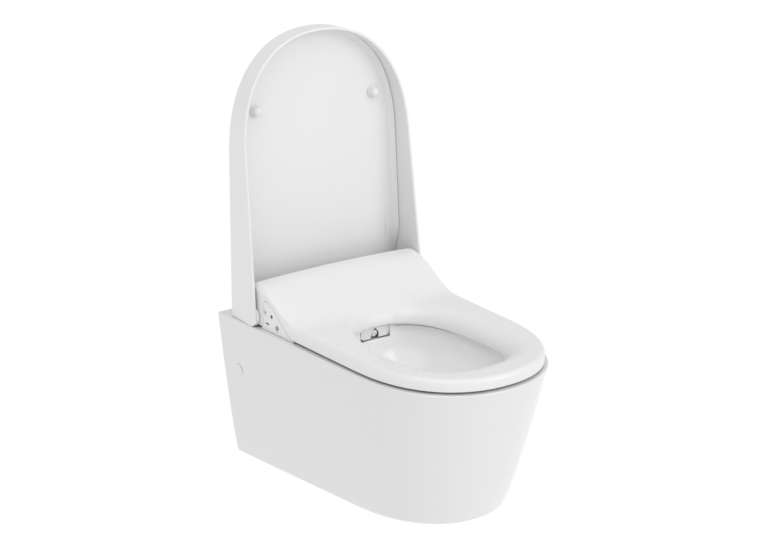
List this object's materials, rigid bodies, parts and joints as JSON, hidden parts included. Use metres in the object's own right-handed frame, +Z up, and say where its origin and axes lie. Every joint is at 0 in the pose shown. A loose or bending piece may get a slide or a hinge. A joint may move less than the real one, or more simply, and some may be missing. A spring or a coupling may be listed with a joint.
{
  "type": "wall-hung shower toilet with electric bidet seat",
  "caption": "Wall-hung ceramic toilet bowl with an electric bidet seat: open lid, heated ring seat, side control panel and a retracting spray nozzle.",
  "frame": {"origin": "on the wall face of the bowl, midway between the two wall bolts", "axes": "+Z up; +Y into the wall, so the bowl points along -Y; the seated user's right, with the controls, is -X"},
  "size_m": [0.3912, 0.5819, 0.7888],
  "materials": {
    "ceramic": "white glaze, glossy",
    "white_plastic": "white moulded plastic, glossy",
    "pale_plastic": "pale grey moulded plastic, satin",
    "grey_plastic": "dark grey moulded plastic",
    "black_plastic": "black moulded plastic",
    "black_lens": "black tinted window, polished",
    "grey_rubber": "grey soft rubber",
    "black_rubber": "black seal rubber",
    "steel": "plated steel",
    "motor_steel": "drawn steel case",
    "brass": "plain brass",
    "circuit_board": "green solder mask",
    "heater_foil": "thin heating foil on a film"
  },
  "bodies": {
    "base": {"ceramic_bowl": "ceramic", "fixing_cap_right": "ceramic", "fixing_cap_left": "ceramic", "wall_sleeve_right": "grey_plastic", "wall_sleeve_left": "grey_plastic", "wall_bolt_right": "steel", "wall_bolt_left": "steel", "waste_seal": "black_rubber", "flush_seal": "black_rubber", "mounting_plate": "steel", "base_tray": "pale_plastic", "housing_cover": "pale_plastic", "hinge_pin_right": "steel", "hinge_pin_left": "steel", "soft_close_damper_right": "grey_plastic", "soft_close_damper_left": "grey_plastic", "deck_bolt_right": "steel", "deck_bolt_left": "steel", "deck_nut_right": "grey_plastic", "deck_nut_left": "grey_plastic", "water_heater": "grey_plastic", "power_supply": "black_plastic", "control_board": "circuit_board", "water_pump": "motor_steel", "solenoid_valve": "black_plastic", "water_inlet": "brass", "power_inlet": "black_plastic", "nozzle_carrier": "grey_plastic", "nozzle_motor": "motor_steel", "nozzle_guard": "pale_plastic", "sensor_lens": "black_lens", "status_light": "grey_plastic", "control_panel": "white_plastic", "side_panel_left": "white_plastic"},
    "lid": {"lid_shell": "white_plastic", "lid_liner": "white_plastic", "lid_bumper_right": "grey_rubber", "lid_bumper_left": "grey_rubber"},
    "seat": {"seat_shell": "white_plastic", "seat_base": "pale_plastic", "seat_heater": "heater_foil", "seat_buffer_rear_right": "grey_rubber", "seat_buffer_rear_left": "grey_rubber", "seat_buffer_front_right": "grey_rubber", "seat_buffer_front_left": "grey_rubber"},
    "nozzle": {"nozzle_arm": "pale_plastic", "nozzle_tip": "pale_plastic"},
    "pinion": {"drive_pinion": "brass"},
    "power_button": {"power_button": "white_plastic"},
    "wash_button": {"wash_button": "pale_plastic"}
  },
  "joints": [
    {"name": "lid_hinge", "type": "hinge", "parent": "base", "child": "lid", "pos_m": [0, -0.0945, 0.1157], "axis": [1, 0, 0], "range_deg": [0, 97.9]},
    {"name": "seat_hinge", "type": "hinge", "parent": "base", "child": "seat", "pos_m": [0, -0.0945, 0.1157], "axis": [1, 0, 0], "range_deg": [-93, 0]},
    {"name": "nozzle_slide", "type": "slide", "parent": "base", "child": "nozzle", "axis": [0, -0.9063, -0.4226], "range_m": [0, 0.07]},
    {"name": "pinion_spin", "type": "hinge", "parent": "base", "child": "pinion", "pos_m": [0, -0.1773, 0.10895], "axis": [-1, 0, 0], "range_deg": [0, 535]},
    {"name": "power_button_press", "type": "slide", "parent": "base", "child": "power_button", "axis": [0.9996, 0.028, 0], "range_m": [0, 0.0012], "stiffness_N_per_m": 600},
    {"name": "wash_button_press", "type": "slide", "parent": "base", "child": "wash_button", "axis": [0.9996, 0.028, 0], "range_m": [0, 0.0012], "stiffness_N_per_m": 600}
  ],
  "couplings": [
    {"joint": "pinion_spin", "follows": "nozzle_slide", "rad_per_m": 133.33}
  ]
}
